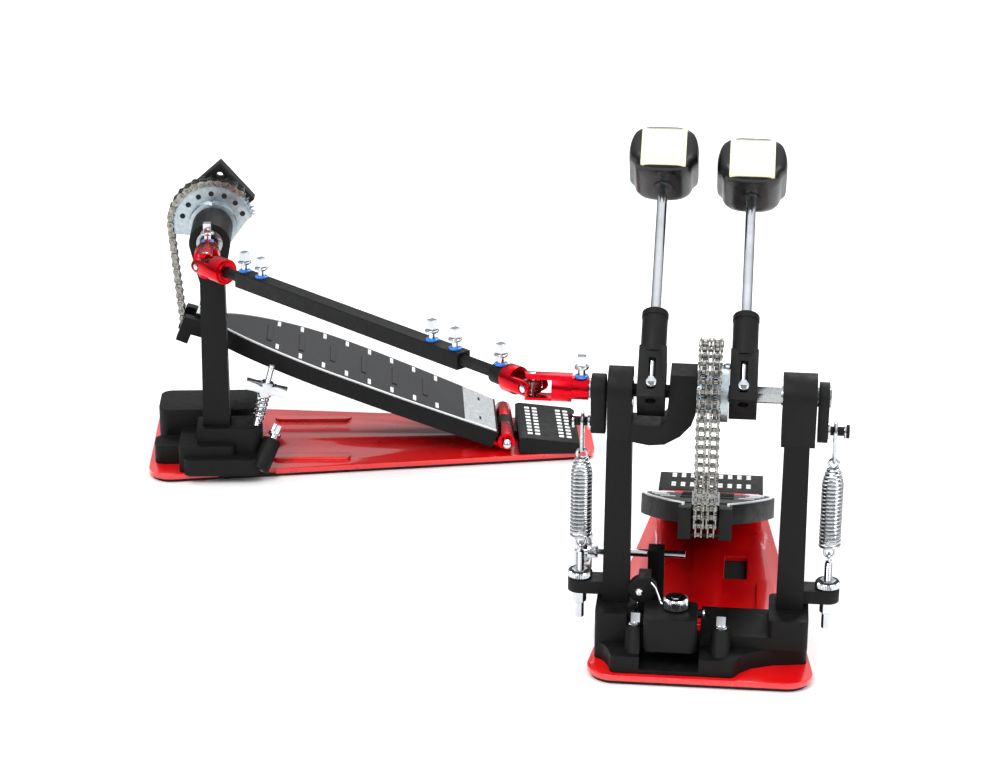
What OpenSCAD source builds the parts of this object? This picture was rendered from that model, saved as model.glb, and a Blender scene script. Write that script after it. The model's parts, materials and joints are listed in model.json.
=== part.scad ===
// Double bass drum pedal: a main pedal with two beaters and an auxiliary pedal,
// joined by a telescopic link shaft with two universal joints.
// Origin: on the floor, in the middle of the main pedal, under its beater shaft.
// +X runs along the main shaft, +Y from toe to heel, +Z up.

/* [Stand] */
// height of both beater shafts above the floor
shaft_h = 187; // [186:0.5:188]
// half width of a base plate at its toe end
plate_toe_half = 74; // [72:1:78]
// half width of a base plate at its heel end
plate_heel_half = 35; // [33:1:38]
// toe edge of a base plate, in front of the shaft
plate_toe_y = -52; // [-54:1:-51]
// heel edge of a base plate
plate_heel_y = 296; // [292:1:300]
// thickness of the steel base plate
plate_t = 4; // [3.5:0.5:4]
// thickness of the rubber floor mat
mat_t = 3; // [2.5:0.5:3]

/* [Footboard] */
// distance from the shaft to the footboard hinge
hinge_y = 226; // [225:1:227]
// height of the footboard hinge
hinge_z = 16.5; // [16:0.5:17]
// slope of the footboard at rest
board_slope = 22.3; // [22:0.1:22.6]
// length of the footboard from hinge to toe
board_len = 268; // [266:1:269]
// widest half width of the footboard
board_half = 46; // [44:1:47]

/* [Drive] */
// radius of the chain's centre line on the sprocket
chain_r = 33; // [32.5:0.5:33.5]
// chain pitch, quarter inch
chain_pitch = 6.35; // [6.3:0.05:6.4]
// backward lean of the beaters at rest
beater_lean = 49; // [47:1:50]
// distance from the shaft to the middle of the left beater head
left_reach = 168; // [160:1:178]
// distance from the shaft to the middle of the right beater head
right_reach = 161; // [156:1:178]
// diameter of a beater rod
rod_d = 7.14; // [7:0.02:7.16]

/* [Link] */
// bend of each universal joint at rest
joint_bend = 41; // [40:0.5:42]
// distance between the two universal joints
link_len = 346; // [342:1:350]
// across the flats of the square link tube
tube_w = 12; // [11.5:0.5:13]

/* [Hidden] */
$fn = 48;

// where the auxiliary pedal stands
main_joint_x = -115;
aux_joint_x = 106;
aux_yaw = 90 - 2 * joint_bend;
aux_joint = [main_joint_x - link_len * cos(joint_bend), link_len * sin(joint_bend)];
aux_origin = [aux_joint[0] - aux_joint_x * sin(aux_yaw), aux_joint[1] + aux_joint_x * cos(aux_yaw), 0];

// levels
deck_z = mat_t + plate_t;
casting_top = 36;

// beater shaft
spindle_flats = 10;
left_flats = 8;
journal_r = 6.2;
bearing_r = 10;
slip = 0.05;

// posts
post_x = 57.5;
post_half_top = 8;
post_half_foot = 9;
ear_z = 43;
ear_t = 9;
ear_end_r = 8;
spring_x = 82;

// chain end at the footboard toe and the tangent to the sprocket
chain_end = [-25, 98];
end_dist = norm([chain_end[0], chain_end[1] - shaft_h]);
end_angle = atan2(chain_end[1] - shaft_h, chain_end[0]) + 360;
tangent_angle = end_angle - acos(chain_r / end_dist);
tangent_pt = [chain_r * cos(tangent_angle), shaft_h + chain_r * sin(tangent_angle)];
run_vec = chain_end - tangent_pt;
run_len = norm(run_vec);
run_angle = atan2(run_vec[1], run_vec[0]);
wrap_start = 38;
// the two parts of the chain stop short of each other, so they clear as the chain swings
wrap_end = tangent_angle - 3;
run_gap = 6;

// spring anchors
spring_y = 3;
bolt_drop = 24;
lower_eye_z = 77;
upper_eye_z = 142;

module at_aux() translate(aux_origin) rotate([0, 0, aux_yaw - 90]) children();
module at_link() translate([main_joint_x, 0, shaft_h]) rotate([0, 0, 180 - joint_bend]) children();
module lean() translate([0, 0, shaft_h]) rotate([-beater_lean, 0, 0]) children();
module on_board() translate([0, hinge_y, hinge_z]) rotate([-board_slope, 0, 0]) children();

module xcyl(r, x0, x1) translate([x0, 0, 0]) rotate([0, 90, 0]) cylinder(r = r, h = x1 - x0);
module ycyl(r, y0, y1) translate([0, y0, 0]) rotate([-90, 0, 0]) cylinder(r = r, h = y1 - y0);
module block(x0, x1, y0, y1, z0, z1) translate([x0, y0, z0]) cube([x1 - x0, y1 - y0, z1 - z0]);
// block with rounded upright corners
module rounded_block(x0, x1, y0, y1, z0, z1, r) translate([0, 0, z0]) linear_extrude(z1 - z0)
  offset(r = r) translate([x0 + r, y0 + r]) square([x1 - x0 - 2 * r, y1 - y0 - 2 * r]);
module xhex(flats, x0, x1) translate([x0, 0, 0]) rotate([0, 90, 0])
  cylinder(r = flats / sqrt(3), h = x1 - x0, $fn = 6);
// a profile drawn as (y, z) and pushed along X
module yz_prism(x0, x1) translate([x0, 0, 0]) rotate([90, 0, 90]) linear_extrude(x1 - x0) children();
// a profile drawn as (x, z) and pushed along Y
module xz_prism(y0, y1) translate([0, y1, 0]) rotate([90, 0, 0]) linear_extrude(y1 - y0) children();
module ring(major, minor) rotate_extrude() translate([major, 0]) circle(r = minor, $fn = 16);

// ---- stand ----

module plate_outline(inset) {
  toe_r = 18;
  heel_r = 8;
  hull() for (side = [-1, 1]) {
    translate([side * (plate_toe_half - toe_r), plate_toe_y + toe_r]) circle(r = toe_r - inset);
    translate([side * (plate_heel_half - heel_r), plate_heel_y - heel_r]) circle(r = heel_r - inset);
  }
}

module floor_mat() color("dimgray") linear_extrude(mat_t) plate_outline(2.5);

module base_plate(has_window, has_notch) {
  rib_h = 2.5;
  color("red") difference() {
    union() {
      translate([0, 0, mat_t]) linear_extrude(plate_t) plate_outline(0);
      xz_prism(32, 214) polygon([[-12, deck_z], [12, deck_z], [8, deck_z + rib_h], [-8, deck_z + rib_h]]);
      for (side = [-1, 1]) translate([side * 42, 0, deck_z]) linear_extrude(rib_h) hull() {
        translate([0, 48]) circle(r = 6);
        translate([0, 98]) circle(r = 6);
      }
    }
    if (has_window) block(13, 29, 109, 148, mat_t - 1, deck_z + 9);
    if (has_notch) block(62, 90, 2, 46, mat_t - 1, deck_z + 9);
  }
}

// plan of the main casting: each front foot sweeps out to its shoulder
module casting_plan() offset(r = -9) offset(r = 13) offset(delta = -4) polygon([
  [-70, 16], [70, 16], [70, -22], [48, -26], [34, -32], [26, -40], [22, -48],
  [-58, -48], [-60, -38], [-64, -30], [-70, -26]
]);

// ledge, shoulders, front feet and spur bosses; the hoop pocket lies between the feet
module casting(pocket_x0, pocket_x1) {
  foot_top = 19;
  shoulder_out = 70;
  difference() {
    union() {
      translate([0, 0, deck_z]) linear_extrude(foot_top - deck_z) casting_plan();
      rounded_block(-shoulder_out, shoulder_out, -28, 16, foot_top, casting_top - 8, 4);
      for (x = [-57, 57]) rounded_block(x - 13, x + 13, -28, 16, foot_top, casting_top + 4, 4);
      intersection() {
        for (x = spur_xs) main_spur_place(x) cylinder(r = 6.5, h = 26);
        block(-70, 70, -60, 0, deck_z, 60);
      }
    }
    block(pocket_x0, pocket_x1, -60, 30, 10, 60);
  }
}

module post_seat(x) block(x - post_half_foot - 0.02, x + post_half_foot + 0.02, -9.7, 11.7, deck_z + 4, 60);

// tapering upright with straight faces
module upright(x, top_z) intersection() {
  foot_z = deck_z + 4;
  xz_prism(-30, 30) polygon([
    [x - post_half_foot, foot_z], [x + post_half_foot, foot_z],
    [x + post_half_top, top_z], [x - post_half_top, top_z]
  ]);
  yz_prism(x - 20, x + 20) polygon([[-9.5, foot_z], [11.5, foot_z], [10, top_z], [-8, top_z]]);
}

// side ear that takes the spring tension rod
module ear(side) translate([0, 0, ear_z]) linear_extrude(ear_t) difference() {
  inner = post_x + 8.2;
  hull() {
    translate([side * (inner + 4), spring_y]) square([8, 16], center = true);
    translate([side * spring_x, spring_y]) circle(r = ear_end_r);
  }
  translate([side * spring_x, spring_y]) circle(r = 2.2);
}

module shaft_head(x0, x1, r, drop) difference() {
  yz_prism(x0, x1) hull() {
    translate([0, shaft_h]) circle(r = r);
    translate([1, shaft_h - drop]) square([18, 1], center = true);
  }
  translate([0, 0, shaft_h]) xcyl(bearing_r, x0 - 1, x1 + 1);
}

module post_with_head(side, x, head_x0, head_x1, with_ear) {
  r_head = 15.5;
  drop = 32;
  difference() {
    union() {
      upright(x, shaft_h);
      if (with_ear) ear(side);
    }
    translate([0, 0, shaft_h]) xcyl(bearing_r, -200, 200);
    block(head_x0 - 1, head_x1 + 1, -30, 30, shaft_h - drop, shaft_h + 30);
  }
  shaft_head(head_x0, head_x1, r_head, drop);
}

module arm_profile() polygon([
  [-49.5, 155], [-38, 153], [-28, 154], [-18, 160], [-11, 168], [-8.4, 176],
  [-8.4, 202], [-25.4, 202], [-26.4, 178], [-27.4, 170], [-31, 166.5], [-49.5, 166.5]
]);

module centre_bearing_arm() color("#222") difference() {
  xz_prism(-11, 13) arm_profile();
  translate([0, 0, shaft_h]) xcyl(bearing_r, -40, 0);
}

module bearing(x0, x1, bore) translate([0, 0, shaft_h]) difference() {
  xcyl(bearing_r, x0, x1);
  xcyl(bore + slip, x0 - 1, x1 + 1);
}

module heel_plate() color("#222") difference() {
  union() {
    yz_prism(-39, 39) polygon([[236, deck_z], [284, deck_z], [284, 14], [281, 16], [239, 21], [236, 20]]);
    translate([0, hinge_y, hinge_z]) xcyl(6.8, -7, 7);
    block(-7, 7, hinge_y, 237, deck_z, 14);
  }
  translate([0, hinge_y, hinge_z]) xcyl(3, -20, 20);
  block(-7.5, 7.5, 215, hinge_y, 0, deck_z);
}

module hinge_pin() color("silver") translate([0, hinge_y, hinge_z]) {
  xcyl(3, -41, 41);
  for (side = [-1, 1]) translate([side * 41, 0, 0]) sphere(r = 4);
}

// cone-pointed spur with a square key head, standing along its own axis
module spur(len) {
  cylinder(r = 3, h = len);
  translate([0, 0, len]) cylinder(r = 5, h = 2);
  translate([-3, -3, len + 2]) cube([6, 6, 6]);
}

spur_xs = [-43, 13];
module main_spur_place(x) translate([x, -41, 9]) rotate([-24, 0, 0]) children();
// hole for a spur with open room above it for the collar and key head
module spur_seat(len) {
  cylinder(r = 3.02, h = len + 1);
  translate([0, 0, len - 0.05]) cylinder(r = 6, h = 24);
}

module main_spurs() color("silver") for (x = spur_xs) main_spur_place(x) spur(27);

module tension_rod(side) translate([side * spring_x, spring_y, 0]) {
  translate([0, 0, ear_z]) cylinder(r = 2.2, h = lower_eye_z - 5.2 - ear_z);
  translate([0, 0, 23]) cylinder(r = 3, h = ear_z - 23, $fn = 6);
  translate([0, 0, lower_eye_z - 3.4]) rotate([0, 90, 0]) ring(3, 1);
}

module tension_nut(side) color("silver") translate([side * spring_x, spring_y, ear_z + ear_t + 0.3])
  difference() {
    cylinder(r = 8.4, h = 4.5);
    translate([0, 0, -1]) cylinder(r = 2.2 + slip, h = 8);
  }

// ---- footboard ----

// the board is leaf shaped: t is the distance from the hinge along its slope
board_start = 9;
board_heel_half = 37.5;
nose_half = 17.3;
widest_t = 140;
nose_t = 238;
function half_at(t) =
  t < widest_t ? board_heel_half
    + (board_half - board_heel_half) * sin(90 * (t - board_start) / (widest_t - board_start)) :
  t < nose_t ? nose_half
    + (board_half - nose_half) * pow(cos(90 * (t - widest_t) / (nose_t - widest_t)), 0.7) :
  nose_half;

// its front part bows down towards the toe
bow_start = 115;
bow_rate = 0.00033;
function sag(t) = t > bow_start ? bow_rate * (t - bow_start) * (t - bow_start) : 0;

module board_outline(inset) {
  steps = 30;
  ts = [for (k = [0 : steps]) board_start + (nose_t - board_start) * k / steps];
  right = concat([for (t = ts) [half_at(t), -t]], [[nose_half, -board_len]]);
  left = [for (k = [len(right) - 1 : -1 : 0]) [-right[k][0], right[k][1]]];
  offset(delta = -inset) polygon(concat(right, left));
}

// the layer of the board between two heights, following the bow
module board_slice(inset, low, high, t0, t1) intersection() {
  steps = 24;
  ts = [for (k = [0 : steps]) t0 + (t1 - t0) * k / steps];
  translate([0, 0, -40]) linear_extrude(80) board_outline(inset);
  yz_prism(-60, 60) polygon(concat([for (t = ts) [-t, high - sag(t)]],
    [for (k = [steps : -1 : 0]) [-ts[k], low - sag(ts[k])]]));
}

module footboard() color("#222") {
  board_and_lugs();
  translate([0, chain_end[0], chain_end[1]]) xcyl(1.5, -10, 10);
}

module board_and_lugs() on_board() difference() {
  union() {
    difference() {
      board_slice(0, -8, 5, board_start, board_len);
      board_slice(3.5, -12, -4.5, 36, board_len - 14);
    }
    for (side = [-1, 1]) block(side * 13.3 - 4, side * 13.3 + 4, -board_len - 0.5, -board_len + 9, -23, -4);
  }
  block(-9, 9, -board_len - 20, -board_len + 9.5, -30, 9);
  block(-30, 30, -32, 0, -20, -5);
}

module footboard_hinge() color("red") on_board() difference() {
  union() {
    for (side = [-1, 1]) scale([side, 1, 1]) xcyl(6.8, 7.4, 36);
    block(-30, -7.4, -31, -2, -8, -5.02);
    block(7.4, 30, -31, -2, -8, -5.02);
  }
  xcyl(3 + slip, -50, 50);
}

// grip skin with raised bars across it
module tread() color("#333") on_board() {
  board_slice(3.5, 5.02, 5.82, 38, 236);
  for (row = [0 : 5]) let (t = 71 + row * 26)
    translate([0, -t, -sag(t)]) block(-18, 18, -2, 2, 5.5, 6.8);
}

module toe_bracket() color("silver") on_board() translate([0, 0, -sag(board_len - 19)]) difference() {
  block(-9, 9, -board_len + 7.2, -board_len + 19, 5.02, 14);
  block(-10, 10, -board_len + 9, -board_len + 17.2, 6.6, 12.4);
}

// ---- drive ----

module link_plate_band(x0, x1) intersection() {
  difference() {
    xcyl(chain_r + 3, x0, x1);
    xcyl(chain_r - 3, x0 - 1, x1 + 1);
  }
  yz_prism(x0 - 1, x1 + 1) polygon([for (k = [0 : 8]) wrap_point(k)]);
}
// corners of the sector that the wrapped chain fills
function wrap_point(k) = k == 0 ? [0, 0] :
  [60 * cos(wrap_start + (k - 1) * (wrap_end - wrap_start) / 7),
   60 * sin(wrap_start + (k - 1) * (wrap_end - wrap_start) / 7)];

wrap_count = floor((tangent_angle - wrap_start) * PI / 180 * chain_r / chain_pitch);
run_count = floor(run_len / chain_pitch);
strand_xs = [[-8, -7], [-1.2, 1.2], [7, 8]];

module chain_wrap() color("gray") translate([0, 0, shaft_h]) {
  for (x = strand_xs) link_plate_band(x[0], x[1]);
  for (k = [0 : wrap_count - 1]) let (a = tangent_angle - (k + 0.5) * chain_pitch / chain_r * 180 / PI)
    translate([0, chain_r * cos(a), chain_r * sin(a)]) xcyl(1.6, -7.5, 7.5);
}

module chain_run() color("gray") translate([0, chain_end[0], chain_end[1]])
  rotate([run_angle + 180 - 90, 0, 0]) {
    for (x = strand_xs) block(x[0], x[1], -3, 3, 2, run_len - run_gap);
    for (k = [1 : run_count - 1]) translate([0, 0, k * chain_pitch]) xcyl(1.6, -7.5, 7.5);
  }

// two discs cut away below the chain, on a hub that widens to a drum
module sprocket() color("lightsteelblue") translate([0, 0, shaft_h]) difference() {
  union() {
    xcyl(12, -8.2, 8.6);
    difference() {
      for (x = [-5.2, 2.8]) xcyl(chain_r - 3.1, x, x + 2.4);
      yz_prism(-20, 20) polygon([
        [-60, -8], [-26, -8], [14.7, -12.5], [28, 5], [60, 9], [60, -60], [-60, -60]
      ]);
    }
    xcyl(18.5, 5.2, 12.2);
  }
  xhex(spindle_flats + 0.04, -20, 20);
}

module right_spindle() color("gray") translate([0, 0, shaft_h]) {
  xcyl(4.5, -16, -8.3);
  xhex(spindle_flats, -8.3, 46);
  xcyl(journal_r, 46, 70);
  xhex(spindle_flats, 70, 78);
}

module left_spindle() color("#333") translate([0, 0, shaft_h]) {
  xcyl(4.5, -25.5, -17);
  xhex(left_flats, -49, -25.5);
  xcyl(journal_r, -66.2, -49);
  xhex(left_flats, -98, -66.2);
}

module aux_spindle() color("#333") translate([0, 0, shaft_h]) {
  xhex(spindle_flats, -23, 12.4);
  xcyl(journal_r, 12.4, 56);
  xhex(left_flats, 56, 88);
}

// beater hub: block round the shaft, round boss up the rod, slot that shows the rod's foot
module beater_hub(x, flats) {
  rod_y = -10.5;
  color("#222") lean() difference() {
    union() {
      block(x - 9, x + 9, -17.5, 9.5, -13.5, 24);
      translate([x, rod_y, 20]) cylinder(r = 8.4, h = 32);
      block(x - 7, x + 7, rod_y, 6, 20, 34);
    }
    rotate([beater_lean, 0, 0]) xhex(flats + 0.04, x - 10, x + 10);
    translate([x, rod_y, -20]) cylinder(r = rod_d / 2 + slip, h = 100);
    block(x - 2.3, x + 2.3, -20, rod_y, -8, 15);
  }
}

module beater_rod(x, reach) color("silver") lean() translate([x, -10.5, -9])
  cylinder(r = rod_d / 2, h = reach + 24);

module beater_head(x, reach) color("#222") lean() translate([x, -10.5, reach]) difference() {
  intersection() {
    union() {
      translate([0, 0, -18]) linear_extrude(36) hull() for (sx = [-1, 1], sy = [-1, 1])
        translate([sx * 13.5, sy * 11.5]) circle(r = 10);
      block(-16, 16, -24, -10, -14, 20);
      block(-16, 16, -24, 10, 12, 20);
    }
    translate([0, 0, 0]) ycyl(27, -40, 40);
  }
  translate([0, 0, -40]) cylinder(r = rod_d / 2 + slip, h = 56);
}

// rocker cam on the shaft end with the bolt that carries the spring stirrup
module rocker(side, x0, x1, flats) translate([0, 0, shaft_h]) {
  difference() {
    yz_prism(min(x0, x1), max(x0, x1)) hull() {
      circle(r = 10);
      translate([spring_y, -bolt_drop]) circle(r = 8);
    }
    xhex(flats + 0.04, -120, 120);
  }
  translate([0, spring_y, -bolt_drop]) {
    tip = side * 91;
    xcyl(3, min(x1, tip), max(x1, tip));
    xcyl(4.5, min(side * 87.5, tip), max(side * 87.5, tip));
  }
}

module spring(side) color("silver") translate([side * spring_x, spring_y, 0]) {
  rotate_extrude() polygon([
    [5.4, 82], [7.4, 82], [7.4, 126], [4.6, 136], [3, 136], [5.4, 126]
  ]);
  for (z = [lower_eye_z + 0.4, upper_eye_z - 1.5]) translate([0, 0, z]) rotate([90, 0, 0]) ring(3.3, 1);
  translate([0, 0, 81]) difference() {
    cylinder(r = 7.4, h = 1.5);
    translate([0, 0, -1]) cylinder(r = 3.4, h = 4);
  }
}

module stirrup(side) color("silver") translate([side * spring_x, spring_y, 0]) {
  translate([0, 0, shaft_h - bolt_drop]) rotate([0, 90, 0]) ring(6.3, 1.1);
  translate([0, 0, upper_eye_z + 4.5]) cylinder(r = 1.3, h = shaft_h - bolt_drop - 6.3 - upper_eye_z - 4.5);
  translate([0, 0, upper_eye_z + 1.9]) rotate([0, 90, 0]) ring(3, 1);
}

// ---- link ----

// half of a universal joint: fork towards the origin, collar out along +X, pins along Y
module yoke(len, pin_r) difference() {
  union() {
    xcyl(9.5, 13, min(26, len - 2));
    xcyl(7.8, 20, len);
    intersection() {
      xcyl(9.5, -6, 14);
      union() {
        block(0, 14, -10, 10, -5.1, 5.1);
        ycyl(5.1, -10, 10);
      }
    }
  }
  block(-7, 13, -6.2, 6.2, -10, 10);
  ycyl(pin_r, -12, 12);
}

module cross() color("silver") {
  block(-4, 4, -4.4, 4.4, -4.4, 4.4);
  ycyl(2.5, -9.3, 9.3);
  translate([0, 0, -9.3]) cylinder(r = 2.5, h = 18.6);
}

module key_screw(base) {
  cylinder(r = 2.4, h = base + 7);
  translate([-3, -3, base + 7]) cube([6, 6, 7.5]);
}

pivot_r = 2.5 + slip;
open_pivot_r = 3.5;

module main_yoke() color("red") translate([main_joint_x, 0, shaft_h]) difference() {
  union() {
    rotate([90, 0, 0]) yoke(36.8, pivot_r);
    translate([32, 0, 5]) key_screw(3);
  }
  xhex(left_flats + 0.04, 15, 60);
}

module main_cross() at_link() cross();

module main_link_yoke() color("red") at_link() difference() {
  yoke(24, open_pivot_r);
  xhex(bar_flats + 0.04, 15, 60);
}

bar_flats = 8;
bar_end = link_len - 80;
collar_r = 7;
module link_bar() color("#222") at_link() {
  xhex(bar_flats, 16, bar_end);
  xcyl(collar_r, 24.3, 34.5);
  translate([29.5, 0, collar_r - 1]) key_screw(1);
}

tube_near = link_len - 280;
tube_far = link_len - 42;
module link_tube() color("#222") at_link() difference() {
  union() {
    block(tube_near, tube_far, -tube_w / 2, tube_w / 2, -tube_w / 2, tube_w / 2);
    xcyl(4, tube_far, link_len - 15);
  }
  xhex(bar_flats + 0.12, tube_near - 1, tube_far - 8);
}

module link_key_screws() color("silver") at_link()
  for (s = [tube_near + 8, tube_near + 31, tube_far - 24, tube_far - 5])
    translate([s, 0, tube_w / 2]) key_screw(2);

module aux_link_yoke() color("red") at_link() translate([link_len, 0, 0]) rotate([0, 0, 180]) difference() {
  yoke(27, open_pivot_r);
  xcyl(4.02, 14.9, 40);
}

module aux_yoke() color("red") at_aux() translate([aux_joint_x, 0, shaft_h])
  rotate([0, 0, 180]) difference() {
  union() {
    rotate([90, 0, 0]) yoke(38, pivot_r);
    translate([30, 0, 5]) key_screw(3);
  }
  xhex(left_flats + 0.04, 15, 60);
}

module aux_cross() at_link() translate([link_len, 0, 0]) cross();

// ---- auxiliary tower ----

aux_post_x = 47;
module balance_block() color("#222") lean() difference() {
  block(-22, -9, -30, 9, -9, 34);
  block(-30, 0, -40, -12, -20, 6);
  rotate([beater_lean, 0, 0]) xhex(spindle_flats + 0.04, -40, 0);
  translate([0, -22.5, 26.5]) xcyl(3, -40, 0);
}

module aux_post() color("#222") post_with_head(1, aux_post_x, 12.8, 55, false);

// wing bolt seat behind the post and the large hoop block beside it
module aux_casting_body() difference() {
  union() {
    rounded_block(-17, 70, -28, 15, deck_z, casting_top - 8, 4);
    rounded_block(33, 78, -24, 33.8, deck_z, 20, 7);
    translate([0, 0, deck_z]) linear_extrude(casting_top + 4 - deck_z) hull() {
      translate([36, -14]) square([26, 20]);
      translate([38, 30]) circle(r = 4);
      translate([54, 27]) circle(r = 9.5);
    }
    intersection() {
      aux_spur_place() cylinder(r = 7, h = 26);
      block(30, 90, 0, 70, deck_z, 60);
    }
    rounded_block(28, 52, -48, -20, deck_z, 22, 7);
    rounded_block(-18, 26, -46, 30, deck_z, 42, 9);
  }
  block(-22, 27.9, -60, -26, deck_z + 3, 18);
  wing_bolt_place() cylinder(r = 2.55, h = 80);
  block(aux_post_x - post_half_foot - 0.02, aux_post_x + post_half_foot + 0.02, -9.7, 11.7, deck_z + 4, 60);
  aux_spur_place() spur_seat(30);
}
module aux_spur_place() translate([74, 34, 10]) rotate([-22, -38, 0]) children();
module aux_spur() color("silver") aux_spur_place() spur(30);

module wing_bolt_place() translate([54, 21, 0]) rotate([-15, 0, 0]) children();
module wing_bolt() color("silver") wing_bolt_place() {
  translate([0, 0, 26]) cylinder(r = 2.5, h = 66);
  translate([0, 0, 68]) {
    cylinder(r = 5.5, h = 9);
    for (side = [-1, 1]) translate([-2, side * 9 - 7, 1]) cube([4, 14, 8]);
  }
}

// ---- hoop clamp of the main pedal ----

jaw_x0 = -37.5;
jaw_x1 = -2.5;
module hoop_jaw() color("#222") difference() {
  union() {
    rounded_block(jaw_x0, jaw_x1, -43, -12, 21, 44, 5);
    block(jaw_x0 + 8, jaw_x1 - 8, -14, 4, 22, 34);
    translate([-42.5, 0, 0]) block(0, 8, -13, 2, 36, 60);
    translate([-20, 4, 28]) xcyl(6, jaw_x0 + 28, jaw_x1 + 12);
  }
  translate([-17, -24, 0]) cylinder(r = 3.05, h = 80);
  translate([0, 4, 28]) xcyl(3.05, -60, 60);
}

module clamp_screw() color("silver") translate([-17, -24, 0]) {
  translate([0, 0, 24]) cylinder(r = 3, h = 22);
  translate([0, 0, 44.3]) cylinder(r = 8.3, h = 8);
}

module clamp_wing_rod() color("silver") translate([0, 34, 57]) {
  xcyl(2.6, -88, -13);
  block(-88, -76, -2, 2, -12, 12);
  xcyl(5, -79, -72);
}

module rod_bracket() difference() {
  union() {
    block(-38, -27, 28, 40, deck_z, 61.5);
    block(-38, -27, 10, 32, deck_z, 20);
  }
  translate([0, 34, 57]) xcyl(2.6 + slip, -60, 0);
}

module main_casting() color("#222") difference() {
  union() {
    casting(-39.5, -0.5);
    rod_bracket();
    translate([0, 4, 28]) xcyl(3, -40, 0);
  }
  post_seat(post_x);
  post_seat(-post_x);
  for (x = spur_xs) main_spur_place(x) spur_seat(27);
}

// ---- one line for each separate piece ----

floor_mat();  // main_floor_mat
base_plate(true, false);  // main_base_plate
main_casting();  // main_base_casting
color("#222") post_with_head(-1, -post_x, -65.5, -49.5, true);  // left_post
color("#222") post_with_head(1, post_x, 47, 69, true);  // right_post
centre_bearing_arm();
color("silver") {  // main_bearings
  bearing(-25.2, -8.6, 4.5);
  bearing(-65.5, -49.5, journal_r);
  bearing(47, 69, journal_r);
}
heel_plate();  // main_heel_plate
union() {  // main_fixings
  hinge_pin();
  main_spurs();
}
color("silver") {  // tension_rods
  tension_rod(-1);
  tension_rod(1);
}
tension_nut(-1);  // left_tension_nut
tension_nut(1);  // right_tension_nut
footboard();  // main_footboard
footboard_hinge();  // main_footboard_hinge
union() {  // main_tread
  tread();
  toe_bracket();
}
right_spindle();
sprocket();  // main_sprocket
beater_hub(21.6, spindle_flats);  // right_beater_hub
color("#222") rocker(1, 70.3, 77, spindle_flats);  // right_rocker
chain_wrap();  // main_chain_wrap
chain_run();  // main_chain_run
beater_rod(21.6, right_reach);  // right_beater_rod
beater_head(21.6, right_reach);  // right_beater_head
left_spindle();
beater_hub(-37.5, left_flats);  // left_beater_hub
color("#222") rocker(-1, -66.8, -76.5, left_flats);  // left_rocker
main_yoke();
beater_rod(-37.5, left_reach);  // left_beater_rod
beater_head(-37.5, left_reach);  // left_beater_head
spring(-1);  // left_spring
stirrup(-1);  // left_stirrup
spring(1);  // right_spring
stirrup(1);  // right_stirrup
main_cross();
main_link_yoke();
link_bar();
link_tube();
link_key_screws();
aux_link_yoke();
aux_cross();
aux_yoke();
at_aux() aux_spindle();
at_aux() sprocket();  // aux_sprocket
at_aux() balance_block();  // aux_balance_block
at_aux() chain_wrap();  // aux_chain_wrap
at_aux() chain_run();  // aux_chain_run
at_aux() footboard();  // aux_footboard
at_aux() footboard_hinge();  // aux_footboard_hinge
at_aux() {  // aux_tread
  tread();
  toe_bracket();
}
at_aux() floor_mat();  // aux_floor_mat
at_aux() base_plate(false, true);  // aux_base_plate
color("#222") at_aux() aux_casting_body();  // aux_base_casting
at_aux() aux_post();
color("silver") at_aux() bearing(12.8, 55, journal_r);  // aux_bearing
at_aux() heel_plate();  // aux_heel_plate
at_aux() {  // aux_fixings
  hinge_pin();
  aux_spur();
}
at_aux() wing_bolt();  // aux_wing_bolt
hoop_jaw();
clamp_screw();
clamp_wing_rod();
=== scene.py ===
import json
import math

import bmesh
import bpy
from mathutils import Matrix, Vector


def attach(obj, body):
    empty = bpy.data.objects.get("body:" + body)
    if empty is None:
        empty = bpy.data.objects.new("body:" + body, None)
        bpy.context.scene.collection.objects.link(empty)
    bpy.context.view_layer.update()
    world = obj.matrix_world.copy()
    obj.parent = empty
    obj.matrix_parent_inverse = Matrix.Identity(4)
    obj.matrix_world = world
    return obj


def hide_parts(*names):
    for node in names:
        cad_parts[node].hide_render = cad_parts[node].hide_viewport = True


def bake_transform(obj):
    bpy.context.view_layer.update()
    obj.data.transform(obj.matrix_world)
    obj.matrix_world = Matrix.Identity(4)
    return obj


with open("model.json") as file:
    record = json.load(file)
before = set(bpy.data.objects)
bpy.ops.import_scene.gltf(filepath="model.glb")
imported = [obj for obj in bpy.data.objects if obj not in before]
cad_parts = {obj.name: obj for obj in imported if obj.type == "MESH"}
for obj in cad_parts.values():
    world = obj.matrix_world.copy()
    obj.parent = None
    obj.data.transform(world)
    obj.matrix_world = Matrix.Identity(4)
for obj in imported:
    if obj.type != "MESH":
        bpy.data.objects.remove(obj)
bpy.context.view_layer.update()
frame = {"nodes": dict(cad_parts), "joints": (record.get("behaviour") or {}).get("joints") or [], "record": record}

# Shapes are drawn in millimetres in the frame of one pedal: x along its shaft, y from toe to
# heel, z up from the floor under the shaft.
MM = 0.001
BODY_OF = {node: body for body, nodes in frame["record"]["behaviour"]["bodies"].items() for node in nodes}
JOINTS = {joint["name"]: joint for joint in frame["joints"]}


# ---- where things stand ----

def joint_mm(name):
    return Vector(JOINTS[name]["pos_m"]) / MM


def pedal_frame(shaft_joint):
    """The frame of a pedal, from the joint that its shaft turns in."""
    x = Vector(JOINTS[shaft_joint]["axis"]).normalized()
    z = Vector((0, 0, 1))
    basis = Matrix((x, z.cross(x), z)).transposed().to_4x4()
    foot = joint_mm(shaft_joint)
    return Matrix.Translation((foot.x, foot.y, 0)) @ basis


def turned(angle):
    return Matrix.Rotation(angle, 4, "X")


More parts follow.
